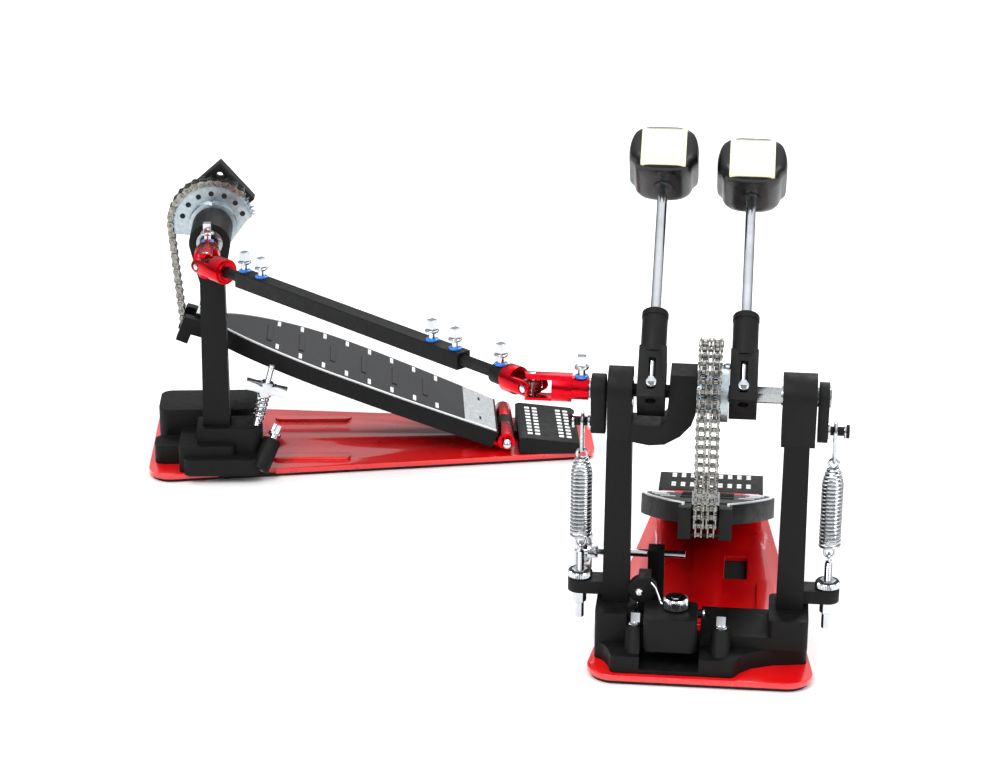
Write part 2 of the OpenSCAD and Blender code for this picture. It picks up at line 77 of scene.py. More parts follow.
SHAFT_H = joint_mm("right_spindle_turn").z
MAIN = pedal_frame("right_spindle_turn")
AUX = pedal_frame("aux_spindle_turn")
HINGE_Y = joint_mm("main_footboard_hinge").y
HINGE_Z = joint_mm("main_footboard_hinge").z
BOARD_SLOPE = math.radians(22.3)
BOARD_LEN = 268
BOARD_HALF = 46
NOSE_HALF = 17.3
ROD_AXIS = Vector(JOINTS["right_beater_height"]["axis"])
BEATER_LEAN = math.atan2(ROD_AXIS.y, ROD_AXIS.z)
LEAN = Matrix.Translation((0, 0, SHAFT_H)) @ turned(-BEATER_LEAN)
BOARD = Matrix.Translation((0, HINGE_Y, HINGE_Z)) @ turned(-BOARD_SLOPE)
LINK_DIRECTION = -Vector(JOINTS["link_bar_turn"]["axis"])
LINK_START = joint_mm("link_bar_turn")
LINK_LEN = (joint_mm("link_tube_turn") - LINK_START).length


def link_frame():
    """From the main universal joint towards the auxiliary one."""
    z = Vector((0, 0, 1))
    basis = Matrix((LINK_DIRECTION, z.cross(LINK_DIRECTION), z)).transposed().to_4x4()
    return Matrix.Translation(LINK_START) @ basis


LINK = link_frame()


# ---- drawing ----

def draft():
    return bmesh.new()


def loft(drawing, rings, closed_ends=True):
    """Joins rings with the same number of corners by walls, and caps the first and the last."""
    rows = [[drawing.verts.new(corner) for corner in ring] for ring in rings]
    count = len(rows[0])
    for low, high in zip(rows, rows[1:]):
        for k in range(count):
            after = (k + 1) % count
            drawing.faces.new((low[k], low[after], high[after], high[k]))
    if closed_ends:
        drawing.faces.new(rows[0][::-1])
        drawing.faces.new(rows[-1])
    return rows


def facing(axis):
    """A turn that takes +z to the axis."""
    return Vector(axis).normalized().to_track_quat("Z", "Y").to_matrix()


def turning(drawing, profile, origin=(0, 0, 0), axis=(0, 0, 1), sides=40):
    """A shape turned on a lathe. The profile lists (height along the axis, radius)."""
    aim = facing(axis)
    rings = []
    for height, radius in profile:
        ring = []
        for k in range(sides):
            angle = 2 * math.pi * k / sides
            spoke = Vector((max(radius, 0.01) * math.cos(angle), max(radius, 0.01) * math.sin(angle), height))
            ring.append(Vector(origin) + aim @ spoke)
        rings.append(ring)
    loft(drawing, rings)


def rod(drawing, start, end, radius, sides=28):
    start, end = Vector(start), Vector(end)
    length = (end - start).length
    edge = min(0.4, radius * 0.25)
    profile = [(0, radius - edge), (edge, radius), (length - edge, radius), (length, radius - edge)]
    turning(drawing, profile, start, end - start, sides)


def knurled(drawing, origin, axis, height, radius, ridges=44, depth=0.45):
    """A grip with ridges along its axis and a chamfer at both ends."""
    aim = facing(axis)
    rings = []
    for level, inset in ((0, 0.9), (0.9, 0), (height - 0.9, 0), (height, 0.9)):
        ring = []
        for k in range(ridges * 2):
            angle = math.pi * k / ridges
            reach = radius - inset - (depth if k % 2 else 0)
            spoke = Vector((reach * math.cos(angle), reach * math.sin(angle), level))
            ring.append(Vector(origin) + aim @ spoke)
        rings.append(ring)
    loft(drawing, rings)


def box(drawing, low, high):
    outline = [(low[0], low[1]), (high[0], low[1]), (high[0], high[1]), (low[0], high[1])]
    slab(drawing, outline, low[2], high[2])


def slab(drawing, outline, low, high, along="z"):
    """An outline pushed along an axis. Its two coordinates are the other axes, in x, y, z order."""
    def corner(point, level):
        a, b = point
        return Vector({"x": (level, a, b), "y": (a, level, b), "z": (a, b, level)}[along])
    loft(drawing, [[corner(p, low) for p in outline], [corner(p, high) for p in outline]])


def wire(drawing, points, radius, sides=10, closed=False):
    """A round wire bent through the points."""
    points = [Vector(p) for p in points]
    count = len(points)
    across = None
    rings = []
    for k, point in enumerate(points):
        before = points[k - 1] if k or closed else point
        after = points[(k + 1) % count] if k < count - 1 or closed else point
        ahead = (after - before).normalized()
        if across is None:
            across = ahead.orthogonal().normalized()
        across = (across - ahead * across.dot(ahead)).normalized()
        other = ahead.cross(across)
        ring = []
        for s in range(sides):
            angle = 2 * math.pi * s / sides
            ring.append(point + radius * (across * math.cos(angle) + other * math.sin(angle)))
        rings.append(ring)
    if closed:
        rows = loft(drawing, rings, closed_ends=False)
        for s in range(sides):
            after = (s + 1) % sides
            drawing.faces.new((rows[-1][s], rows[-1][after], rows[0][after], rows[0][s]))
    else:
        loft(drawing, rings)


def arc(centre, radius, start, stop, steps):
    """Points on an arc in a plane, with angles in degrees."""
    angles = [math.radians(start + (stop - start) * k / steps) for k in range(steps + 1)]
    return [(centre[0] + radius * math.cos(a), centre[1] + radius * math.sin(a)) for a in angles]


def piece(drawing, name, material, body, place=MAIN, stands_for=(), ease=0.0, smooth=34):
    """Turns a drawing into a piece that rides on a body."""
    bmesh.ops.recalc_face_normals(drawing, faces=drawing.faces)
    drawing.transform(Matrix.Scale(MM, 4) @ place)
    mesh = bpy.data.meshes.new(name)
    drawing.to_mesh(mesh)
    drawing.free()
    return finish_piece(mesh, name, material, body, stands_for, ease, smooth)


def finish_piece(mesh, name, material, body, stands_for, ease, smooth):
    mesh.materials.clear()
    mesh.materials.append(material)
    mesh.polygons.foreach_set("use_smooth", [True] * len(mesh.polygons))
    mesh.polygons.foreach_set("material_index", [0] * len(mesh.polygons))
    made = bpy.data.objects.new(name, mesh)
    bpy.context.collection.objects.link(made)
    if ease:
        bevel = made.modifiers.new("eased_edges", "BEVEL")
        bevel.width = ease * MM
        bevel.segments = 3
        bevel.limit_method = "ANGLE"
        bevel.angle_limit = math.radians(smooth)
        bevel.use_clamp_overlap = True
        bevel.harden_normals = True
    else:
        mesh.set_sharp_from_angle(angle=math.radians(smooth))
    if body:
        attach(made, body)
    for node in stands_for:
        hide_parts(node)
    return made


def worked(node, material, ease=0.6, smooth=34, top_mm=None):
    """A frame part with its edges eased, as a cast, pressed or sawn part has them.

    With a top height, everything above it is cut off to make room for a finer part."""
    drawing = bmesh.new()
    drawing.from_mesh(frame["nodes"][node].data)
    bmesh.ops.remove_doubles(drawing, verts=drawing.verts, dist=2e-6)
    if top_mm:
        geometry = drawing.verts[:] + drawing.edges[:] + drawing.faces[:]
        bmesh.ops.bisect_plane(drawing, geom=geometry, plane_co=(0, 0, top_mm * MM), plane_no=(0, 0, 1),
                               clear_outer=True)
        bmesh.ops.holes_fill(drawing, edges=[edge for edge in drawing.edges if edge.is_boundary])
    flat = math.radians(0.6)
    bmesh.ops.dissolve_limit(drawing, angle_limit=flat, verts=drawing.verts, edges=drawing.edges)
    mesh = bpy.data.meshes.new(node + "_worked")
    drawing.to_mesh(mesh)
    drawing.free()
    return finish_piece(mesh, node + "_worked", material, BODY_OF[node], [node], ease, smooth)


# ---- materials ----

def linear(code):
    """An sRGB hex colour as linear red, green, blue and full alpha."""
    shares = [int(code[k:k + 2], 16) / 255 for k in (1, 3, 5)]
    return [s / 12.92 if s <= 0.04045 else ((s + 0.055) / 1.055) ** 2.4 for s in shares] + [1.0]


def add(tree, kind, inputs=None, **settings):
    """Adds a node. Inputs are values, or other nodes' outputs to link."""
    made = tree.nodes.new(kind)
    for key, value in settings.items():
        setattr(made, key, value)
    for key, value in (inputs or {}).items():
        if isinstance(value, bpy.types.NodeSocket):
            tree.links.new(value, made.inputs[key])
        else:
            made.inputs[key].default_value = value
    return made


def per_mm(size):
    """Texture scale at which one feature is about so many millimetres across."""
    return 1 / (size * MM)


def finish(name, dark, light, grain_mm, roughness, bump=0.0, bump_mm=None, stretch=(1, 1, 1),
           detail=3.0, bump_depth_mm=0.05, **sockets):
    """A finish whose colour wanders between two shades and whose roughness and relief have a grain.

    The grain runs in the object's own space, so it stays put on a piece that moves."""
    material = bpy.data.materials.new(name)
    material.use_nodes = True
    tree = material.node_tree
    tree.nodes.clear()
    where = add(tree, "ShaderNodeTexCoord")
    laid = add(tree, "ShaderNodeMapping", {"Vector": where.outputs["Object"], "Scale": stretch})
    cloud = add(tree, "ShaderNodeTexNoise", {"Vector": laid.outputs[0], "Scale": per_mm(grain_mm),
                                             "Detail": detail, "Roughness": 0.6})
    shade = add(tree, "ShaderNodeMapRange", {"Value": cloud.outputs["Fac"], "From Min": 0.3, "From Max": 0.7})
    tint = add(tree, "ShaderNodeMix", data_type="RGBA")
    tree.links.new(shade.outputs[0], tint.inputs[0])
    tint.inputs[6].default_value = linear(dark)
    tint.inputs[7].default_value = linear(light)
    matte = add(tree, "ShaderNodeMapRange", {"Value": cloud.outputs["Fac"], "From Min": 0.2, "From Max": 0.8,
                                             "To Min": roughness * 0.8, "To Max": min(roughness * 1.2, 1)})
    skin = add(tree, "ShaderNodeBsdfPrincipled",
               {"Base Color": tint.outputs[2], "Roughness": matte.outputs[0], **sockets})
    if bump:
        grit_mm = bump_mm or grain_mm
        fine = add(tree, "ShaderNodeTexNoise", {"Vector": laid.outputs[0], "Scale": per_mm(grit_mm),
                                                "Detail": 2.0})
        relief = add(tree, "ShaderNodeBump", {"Strength": bump, "Distance": bump_depth_mm * MM,
                                              "Height": fine.outputs["Fac"]})
        tree.links.new(relief.outputs[0], skin.inputs["Normal"])
    out = add(tree, "ShaderNodeOutputMaterial")
    tree.links.new(skin.outputs[0], out.inputs["Surface"])
    return material


# Powder coat on castings: baked dust gives a fine orange-peel grit over a deep black.
POWDER_COAT = finish("powder_coat_black", "#040404", "#0B0B0A", 6, 0.6, bump=0.35, bump_mm=0.9,
                     **{"Specular IOR Level": 0.22})
# Stoved enamel on the pressed base plates: a wet gloss coat over an even red.
RED_ENAMEL = finish("stoved_enamel_red", "#D40008", "#E60A0C", 30, 0.3, bump=0.06, bump_mm=4,
                    **{"Coat Weight": 1.0, "Coat Roughness": 0.06})
# Anodised aluminium, machined then dyed red: metal glint through a saturated red skin.
RED_ANODISED = finish("anodised_aluminium_red", "#B80A18", "#D81424", 5, 0.26, bump=0.08, bump_mm=0.6,
                      stretch=(1, 1, 6), Metallic=1.0)
# Moulded rubber sheet under each pedal: dead matte, slightly dusty.
MAT_RUBBER = finish("moulded_rubber_mat", "#101010", "#1D1D1C", 12, 0.85, bump=0.5, bump_mm=1.2)
# Chrome on polished steel: near mirror, with faint wiping haze.
CHROME = finish("chrome_plate", "#C0C3C7", "#D6D8DB", 25, 0.1, Metallic=1.0)
# Turned steel of shafts and bearings: fine rings left by the tool.
TURNED_STEEL = finish("turned_steel", "#8E9092", "#B4B6B8", 2, 0.26, bump=0.1, bump_mm=0.5, stretch=(8, 1, 1),
                      Metallic=1.0)
# Machined zinc casting of the sprocket: cool grey, soft sparkle.
CAST_ZINC = finish("machined_zinc", "#98A4AA", "#BAC4C8", 3, 0.34, bump=0.12, bump_mm=0.8, Metallic=1.0)
# Nickel-plated chain: colour wanders at random between dark grey and bright nickel, in patches about 2.5 mm
# across.
CHAIN_NICKEL = finish("mottled_nickel_chain", "#4E4C48", "#A9A69F", 2.5, 0.24, Metallic=1.0)
# Drawn spring wire: bright, with faint draw lines.
SPRING_WIRE = finish("drawn_spring_wire", "#A6A9AC", "#D4D6D8", 1.5, 0.18, Metallic=1.0)
# Moulded plastic body of the beater heads: satin black with a very fine texture.
HEAD_PLASTIC = finish("moulded_plastic_black", "#060606", "#0D0D0D", 10, 0.3, bump=0.1, bump_mm=0.8,
                      **{"Specular IOR Level": 0.5})
# Pressed wool felt: pale, mottled and fibrous, with soft fuzz at grazing angles.
FELT = finish("pressed_wool_felt", "#E6DFB8", "#F6F0CE", 1.6, 0.95, bump=0.9, bump_mm=0.7, bump_depth_mm=0.25,
              **{"Sheen Weight": 0.4, "Sheen Roughness": 0.5})
# Grip skin of the footboards: charcoal with a sanded speckle.
GRIP_SKIN = finish("sanded_grip_skin", "#0C0C0D", "#1F1F21", 1.1, 0.7, bump=0.8, bump_mm=0.9,
                   bump_depth_mm=0.15)
# Brushed aluminium trim: streaks across the board.
BRUSHED_TRIM = finish("brushed_aluminium_trim", "#B4B6B8", "#E0E2E3", 1.2, 0.38, stretch=(0.08, 1, 1),
                      bump=0.1, bump_mm=0.8, Metallic=1.0)
# Silver paint of the printed trim on boards and heel plates: pale, satin, with fine flake.
TRIM_PAINT = finish("silver_trim_paint", "#D3D5D6", "#F0F1F1", 0.8, 0.4, bump=0.15, bump_mm=0.6)
# Blue nylon washers: smooth moulded plastic that lets a little light in.
BLUE_NYLON = finish("moulded_nylon_blue", "#1D66C4", "#3284E2", 4, 0.35, **{"Subsurface Weight": 0.08})
# Brass ring round each universal joint cross.
BRASS = finish("turned_brass", "#B08A3C", "#D2AE5E", 2, 0.25, Metallic=1.0)
# Dull near-black paint: painted shade on thin discs and slabs laid where screw holes, sockets and slots fall dark
# in shadow, and the flat black top of each tension nut.
HOLE_SHADE_AND_FLAT_BLACK = finish("unlit_recess_paint", "#050505", "#0A0A0A", 4, 0.8)


# ---- frame parts that keep their shape and get eased edges ----

def worked_parts():
    coat = (
        ("main_base_casting", 1.4), ("left_post", 1.2), ("right_post", 1.2), ("centre_bearing_arm", 1.4),
        ("main_heel_plate", 0.8), ("right_rocker", 0.8), ("left_rocker", 0.8),
        ("link_tube", 1.0), ("aux_balance_block", 0.9), ("aux_base_casting", 1.4), ("aux_post", 1.4),
        ("aux_heel_plate", 0.8), ("hoop_jaw", 1.2), ("main_footboard", 1.0), ("aux_footboard", 1.0),
        ("left_spindle", 0.3), ("aux_spindle", 0.3), ("left_beater_hub", 1.2), ("right_beater_hub", 1.2),
    )
    for node, ease in coat:
        worked(node, POWDER_COAT, ease)
    for node in ("main_base_plate", "aux_base_plate"):
        worked(node, RED_ENAMEL, 0.9)
    worked("link_bar", POWDER_COAT, 0.3, top_mm=SHAFT_H + 7.1)
    for node in ("main_yoke", "aux_yoke"):
        worked(node, RED_ANODISED, 0.5, top_mm=SHAFT_H + 9.6)
    for node in ("main_link_yoke", "aux_link_yoke"):
        worked(node, RED_ANODISED, 0.5)
    for node in ("main_footboard_hinge", "aux_footboard_hinge"):
        worked(node, RED_ANODISED, 0.5)
    for node in ("main_floor_mat", "aux_floor_mat"):
        worked(node, MAT_RUBBER, 0.5)
    for node in ("main_fixings", "aux_fixings", "left_beater_rod", "right_beater_rod"):
        worked(node, CHROME, 0.3)
    worked("tension_rods", CHROME, 0)
    for node in ("main_bearings", "aux_bearing", "main_cross", "aux_cross", "right_spindle"):
        worked(node, TURNED_STEEL, 0.3)
    for node in ("main_tread", "aux_tread"):
        worked(node, GRIP_SKIN, 0.25)
    worked("clamp_wing_rod", CHROME, 0.9)


# ---- beaters ----

HEAD_AT = {"left": 168, "right": 161}
BEATER_X = {"left": -37.5, "right": 21.6}
ROD_Y = -10.5


def barrel(drawing, x, middle, front, back, low, high, round_r, half_x, side_r, steps=18):
    """The rounded block of a beater head, drawn as sections from its lower end to its top."""
    rings = []
    levels = [low + (high - low) * (0.5 - 0.5 * math.cos(math.pi * k / steps)) for k in range(steps + 1)]
    for level in levels:
        end = min(level - low, high - level)
        tuck = round_r - math.sqrt(max(round_r ** 2 - (round_r - min(end, round_r)) ** 2, 0))
        belly = math.sqrt(max(1 - (level / side_r) ** 2, 0))
        skirt = 2.2 if level < low + 11 else 0
        half = half_x * belly - tuck - skirt
        rings.append(rounded_ring(x, ROD_Y, half, front + tuck, back - tuck, middle + level, 9))
    loft(drawing, rings)


def rounded_ring(x, y, half, front, back, z, corner, steps=6):
    """A rectangle with round corners, level with the lean frame."""
    corner = min(corner, half * 0.95, (back - front) * 0.48)
    ring = []
    for quarter, (cx, cy) in enumerate((
            (half - corner, back - corner), (-half + corner, back - corner),
            (-half + corner, front + corner), (half - corner, front + corner))):
        for a, b in arc((cx, cy), corner, 90 * quarter, 90 * quarter + 90, steps):
            ring.append(Vector((x + a, y + b, z)))
    return ring


def beater_head(side, x, body):
    reach = HEAD_AT[side]
    head = draft()
    barrel(head, x, reach, -21.5, 21.0, -18, 18, 5.5, 23.4, 29)
    piece(head, side + "_head_body", HEAD_PLASTIC, body, LEAN, [side + "_beater_head"],
          smooth=60)
    ferrule = draft()
    turning(ferrule, [(-18.6, 5.2), (-18.6, 6.4), (-17, 6.6), (-17, 0)], (x, ROD_Y, reach), (0, 0, 1), 32)
    piece(ferrule, side + "_head_ferrule", HEAD_PLASTIC, body, LEAN)
    felt = draft()
    half = 15
    # over the striking face and round the top, following the barrel just above its skin
    path = [(-21.9, -14.5), (-22.6, -13.6), (-22.8, -6), (-22.8, 2), (-22.6, 9), (-21.2, 14.2), (-18.2, 17.6),
            (-13, 19.2), (-2, 19.4), (8, 19.2)]
    inner = [(y + 2.6, z) if k < 5 else (y + 1.8, z - 2.4) for k, (y, z) in enumerate(path)]
    outline = [(ROD_Y + y, reach + z) for y, z in path + inner[::-1]]
    slab(felt, outline, x - half, x + half, "x")
    piece(felt, side + "_head_felt", FELT, body, LEAN, ease=0.7, smooth=50)


def beater_trim(side, x, spindle_body):
    """Drum key screw in the slot and the grooved collar on top of the hub."""
    screw = draft()
    turning(screw, [(0, 3.6), (2.2, 3.6), (2.6, 3.1), (2.6, 0)], (x, -15.6, -3), (0, -1, 0), 28)
    box(screw, (x - 1.9, -21.4, -4.9), (x + 1.9, -18, -1.1))
    piece(screw, side + "_hub_screw", CHROME, spindle_body, LEAN, ease=0.2)
    collar = draft()
    turning(collar, [(47.6, 8.0), (47.6, 8.75), (51.2, 8.75), (52.2, 7.8), (52.3, 4.2), (51.9, 3.62)],
            (x, ROD_Y, 0), (0, 0, 1), 44)
    piece(collar, side + "_hub_collar", POWDER_COAT, spindle_body, LEAN)


def beaters():
    for side, x in BEATER_X.items():
        beater_head(side, x, side + "_beater")
        beater_trim(side, x, side + "_spindle")


# ---- springs ----

SPRING_X = 82
SPRING_Y = 3
ROCKER_DROP = 24
COIL_LOW = 81
COIL_HIGH = 137
COIL_R = 6.5
WIRE_R = 0.95
TURNS = 21


def coil_points(side):
    """A close coil whose top turns draw in to the hook."""
    points = []
    per_turn = 18
    for k in range(TURNS * per_turn + 1):
        turn = k / per_turn
        share = turn / TURNS
        taper = max((share - 0.8) / 0.2, 0)
        radius = COIL_R - 2.9 * taper ** 1.4
        angle = 2 * math.pi * turn
        points.append((side * SPRING_X + radius * math.cos(angle), SPRING_Y + radius * math.sin(angle),
                       COIL_LOW + (COIL_HIGH - COIL_LOW) * share))
    return points


def eye(x, y, z, radius):
    """A closed loop of wire in an upright plane along x."""
    points = []
    for k in range(28):
        angle = 2 * math.pi * k / 28
        across = radius * math.cos(angle)
        points.append((x + across, y, z + radius * math.sin(angle)))
    return points


def spring(name, side):
    coil = draft()
    wire(coil, coil_points(side), WIRE_R)
    x = side * SPRING_X
    wire(coil, eye(x, SPRING_Y, COIL_LOW - 3.6, 3.3), WIRE_R, closed=True)
    wire(coil, eye(x, SPRING_Y, COIL_HIGH + 3.2, 3.3), WIRE_R, closed=True)
    made = piece(coil, name + "_coil", SPRING_WIRE, None, MAIN, [name + "_spring"])
    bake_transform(made)


def stirrup(name, side):
    """Flat steel loop that hangs from the rocker's bolt, narrowing to the spring's hook."""
    x = side * SPRING_X
    bolt_z = SHAFT_H - ROCKER_DROP
    loop = [(SPRING_Y + 5.3 * math.cos(math.radians(a)), bolt_z + 5.3 * math.sin(math.radians(a)))
            for a in range(-20, 201, 20)]
    front = [(4.6, bolt_z - 10), (2.9, 146), (2.2, 143)]
    path = loop + [(SPRING_Y - y, z) for y, z in front] + [(SPRING_Y, 141.2)]
    path += [(SPRING_Y + y, z) for y, z in front[::-1]]
    hanger = draft()
    wire(hanger, [(x, y, z) for y, z in path], 1.25, closed=True)
    piece(hanger, name + "_hanger", SPRING_WIRE, name + "_stirrup", MAIN, [name + "_stirrup"])


def tension_gear(name, side):
    """Knurled nut on top of the ear and the thread that runs through it."""
    x = side * SPRING_X
    nut = draft()
    knurled(nut, (x, SPRING_Y, 52.3), (0, 0, 1), 4.6, 8.3)
    turning(nut, [(4.6, 5.6), (5.6, 5.2), (5.6, 2.4)], (x, SPRING_Y, 52.3), (0, 0, 1), 6)
    piece(nut, name + "_nut_knurled", CHROME, name + "_nut", MAIN, [name + "_tension_nut"])
    top = draft()
    turning(top, [(0, 7.4), (0.25, 7.4)], (x, SPRING_Y, 56.8), (0, 0, 1), 36)
    piece(top, name + "_nut_top", HOLE_SHADE_AND_FLAT_BLACK, name + "_nut", MAIN)
    thread = draft()
    pitch = 1.25
    for k in range(int(13 / pitch)):
        z = 57.5 + k * pitch
        turning(thread, [(0, 2.2), (pitch * 0.5, 2.75), (pitch, 2.2)], (x, SPRING_Y, z), (0, 0, 1), 20)
    rod(thread, (x, SPRING_Y, 34), (x, SPRING_Y, 43), 4.6, 6)
    piece(thread, name + "_tension_thread", CHROME, "main_frame", MAIN)


def rocker_bolts():
    """Rounded heads outside the stirrups and a set screw on the rocker's rim."""
    for name, side in (("left", -1), ("right", 1)):
        y, z = SPRING_Y, SHAFT_H - ROCKER_DROP
        bolt = draft()
        dome = [(0, 4.4), (1, 4.6), (2.2, 4.2), (3, 2.8), (3.2, 0)]
        turning(bolt, dome, (side * 87.4, y, z), (side, 0, 0), 28)
        turning(bolt, [(0, 5.4), (1.2, 5.4)], (side * 77.2, y, z), (side, 0, 0), 28)
        piece(bolt, name + "_rocker_bolt", CHROME, name + "_spindle", MAIN)
        cap = draft()
        rim = [(0, 6.6), (0.8, 6.6), (1.4, 6.0), (1.4, 4)]
        turning(cap, rim, (side * 76.9, 0, SHAFT_H), (side, 0, 0), 36)
        piece(cap, name + "_rocker_cap", TURNED_STEEL, name + "_spindle", MAIN)


def springs():
    for name, side in (("left", -1), ("right", 1)):
        spring(name, side)
        stirrup(name, side)
        tension_gear(name, side)
    rocker_bolts()


# ---- chain drive ----

CHAIN_R = 33
PITCH = 6.35
CHAIN_END = (-25.0, 98.0)
WRAP_START = 38


def chain_route():
    """The tangent from the sprocket to the pin at the footboard's toe."""
    dy, dz = CHAIN_END[0], CHAIN_END[1] - SHAFT_H
    far = math.hypot(dy, dz)
    tangent = math.degrees(math.atan2(dz, dy)) + 360 - math.degrees(math.acos(CHAIN_R / far))
    lean = math.radians(tangent)
    touch = (CHAIN_R * math.cos(lean), SHAFT_H + CHAIN_R * math.sin(lean))
    return tangent, touch, math.hypot(CHAIN_END[0] - touch[0], CHAIN_END[1] - touch[1])


TANGENT, TOUCH, RUN_LEN = chain_route()
WRAP_LEN = math.radians(TANGENT - WRAP_START) * CHAIN_R


def chain_at(distance):
    """The chain's centre line, measured from its lower end."""
    if distance <= RUN_LEN:
        share = distance / RUN_LEN
        return Vector((CHAIN_END[0] + (TOUCH[0] - CHAIN_END[0]) * share,
                       CHAIN_END[1] + (TOUCH[1] - CHAIN_END[1]) * share))
    angle = math.radians(TANGENT) - (distance - RUN_LEN) / CHAIN_R
    return Vector((CHAIN_R * math.cos(angle), SHAFT_H + CHAIN_R * math.sin(angle)))


def link_plate(drawing, a, b, low, high):
    """A waisted plate round two pins."""
    heading = math.degrees(math.atan2(b.y - a.y, b.x - a.x))
    middle = (a + b) / 2
    across = Vector((a.y - b.y, b.x - a.x)).normalized() * 1.75
    outline = [Vector(p) for p in arc(b, 2.75, heading - 75, heading + 75, 5)] + [middle + across]
    outline += [Vector(p) for p in arc(a, 2.75, heading + 105, heading + 255, 5)] + [middle - across]
    slab(drawing, outline, low, high, "x")


def chain(name, place):
    plates = draft()
    count = int((RUN_LEN + WRAP_LEN) / PITCH)
    for k in range(count):
        a, b = chain_at(k * PITCH), chain_at((k + 1) * PITCH)
        for strand in (-4, 4):
            for side in (-1, 1):
                reach = strand + side * (2.9 if k % 2 else 1.9)
                link_plate(plates, a, b, reach - 0.42, reach + 0.42)
    for k in range(count + 1):
        y, z = chain_at(k * PITCH)
        rod(plates, (-7.9, y, z), (7.9, y, z), 1.15, 10)
        for strand in (-4, 4):
            rod(plates, (strand - 1.5, y, z), (strand + 1.5, y, z), 1.65, 14)
    made = piece(plates, name + "_chain", CHAIN_NICKEL, None, place,
                 [name + "_chain_wrap", name + "_chain_run"])
    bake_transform(made)


TEETH = 27


def toothed_disc(drawing, low, high):
    """A disc with teeth where the chain lies, cut away below."""
    outline = []
    step = 184 / TEETH
    for k in range(TEETH):
        for share, radius in ((0, 30.2), (0.3, 30.6), (0.44, 33.2), (0.56, 33.2), (0.7, 30.6)):
            lean = math.radians(10 + (k + share) * step)
            outline.append((radius * math.cos(lean), SHAFT_H + radius * math.sin(lean)))
    outline += [(-25, SHAFT_H - 8), (12, SHAFT_H - 10), (26, SHAFT_H + 3)]
    slab(drawing, outline, low, high, "x")


def sprocket(name, place, body):
    worked(name + "_sprocket", CAST_ZINC, 0.4)
    teeth = draft()
    for middle in (-4, 4):
        toothed_disc(teeth, middle - 1.1, middle + 1.1)
    piece(teeth, name + "_sprocket_teeth", CAST_ZINC, body, place, ease=0.15)
    # Painted shade: near-black discs on the sprocket's face stand for the shadowed insides of its seven holes.
    holes = draft()
    for k in range(7):
        angle = math.radians(20 + 24 * k)
        spot = (5.24, 24.2 * math.cos(angle), SHAFT_H + 24.2 * math.sin(angle))
        turning(holes, [(0, 2.1), (0.12, 2.1)], spot, (1, 0, 0), 20)
    piece(holes, name + "_sprocket_hole_shade", HOLE_SHADE_AND_FLAT_BLACK, body, place)
    hub_screw = draft()
    turning(hub_screw, [(0, 2.6), (2.4, 2.6), (2.8, 2.2), (2.8, 1.4), (1.6, 1.3)],
            (10.9, 0, SHAFT_H + 17.4), (0, 0, 1), 6)
    piece(hub_screw, name + "_sprocket_screw", CHROME, body, place)


def drives():
    for name, place, spindle_body in (("main", MAIN, "right_spindle"), ("aux", AUX, "aux_spindle")):
        chain(name, place)
        sprocket(name, place, spindle_body)


# ---- link shaft ----

def key_screw(drawing, washers, x, foot):
    """A square-headed drum key screw standing on a washer."""
    up = (0, 0, 1)
    shank = [(1.2, 2.5), (6.0, 2.5), (6.0, 4.6), (7.0, 5.0), (8.0, 4.6), (8.0, 3.0)]
    turning(drawing, shank, (x, 0, foot), up, 28)
    slab(drawing, [(x - 2.9, -2.9), (x + 2.9, -2.9), (x + 2.9, 2.9), (x - 2.9, 2.9)], foot + 8, foot + 14.8)
    turning(washers, [(0, 4.2), (0.2, 4.5), (1.2, 4.5), (1.4, 4.2)], (x, 0, foot), up, 28)


def joint_trim(name, place, at, yaw, cross_body):
    """Brass band round the middle of a cross and bright caps on its four pins."""
    here = place @ Matrix.Translation(at) @ Matrix.Rotation(yaw, 4, "Z")
    band = draft()
    turning(band, [(-1.6, 4.9), (-1.6, 5.6), (1.6, 5.6), (1.6, 4.9)], (0, 0, 0), (1, 0, 0), 36)
    piece(band, name + "_cross_band", BRASS, cross_body, here)
    caps = draft()
    for axis in ((0, 1, 0), (0, -1, 0), (0, 0, 1), (0, 0, -1)):
        spot = Vector(axis) * 8.9
        turning(caps, [(0, 2.3), (0.4, 2.3), (0.6, 1.9)], spot, axis, 24)
    piece(caps, name + "_cross_caps", CHROME, cross_body, here)


def link():
    screws, washers = draft(), draft()
    tube_top = 6
    near, far = LINK_LEN - 280, LINK_LEN - 42
    for x in (near + 8, near + 31, far - 24, far - 5):
        key_screw(screws, washers, x, tube_top)
    piece(screws, "link_key_screws_turned", CHROME, "link_outer", LINK, ["link_key_screws"], ease=0.3)
    piece(washers, "link_washers", BLUE_NYLON, "link_outer", LINK)
    for name, body, place, x, foot in (
            ("main_yoke", "left_spindle", Matrix.Translation(LINK_START), 32, 7.4),
            ("link_collar", "link_inner", LINK, 29.5, 6.8),
            ("aux_yoke", "aux_spindle", AUX, AUX_YOKE_X - 32, SHAFT_H + 7.4)):
        screw, washer = draft(), draft()
        key_screw(screw, washer, x, foot)
        piece(screw, name + "_screw", CHROME, body, place, ease=0.3)
        piece(washer, name + "_washer", BLUE_NYLON, body, place)
    joint_trim("main", LINK, (0, 0, 0), 0, "main_cross")
    joint_trim("aux", LINK, (LINK_LEN, 0, 0), 0, "aux_cross")


AUX_YOKE_X = (AUX.inverted() @ joint_mm("aux_cross_swivel")).x


# ---- footboards and heel plates ----

def half_at(t):
    """Half width of a footboard so far from its hinge."""
    if t < 140:
        return 37.5 + (BOARD_HALF - 37.5) * math.sin(math.pi / 2 * (t - 9) / 131)
    if t < 238:
        return NOSE_HALF + (BOARD_HALF - NOSE_HALF) * math.cos(math.pi / 2 * (t - 140) / 98) ** 0.7
    return NOSE_HALF


def sag(t):
    """How far the top of the board has bowed down so far from its hinge."""
    return 0.00033 * max(t - 115, 0) ** 2


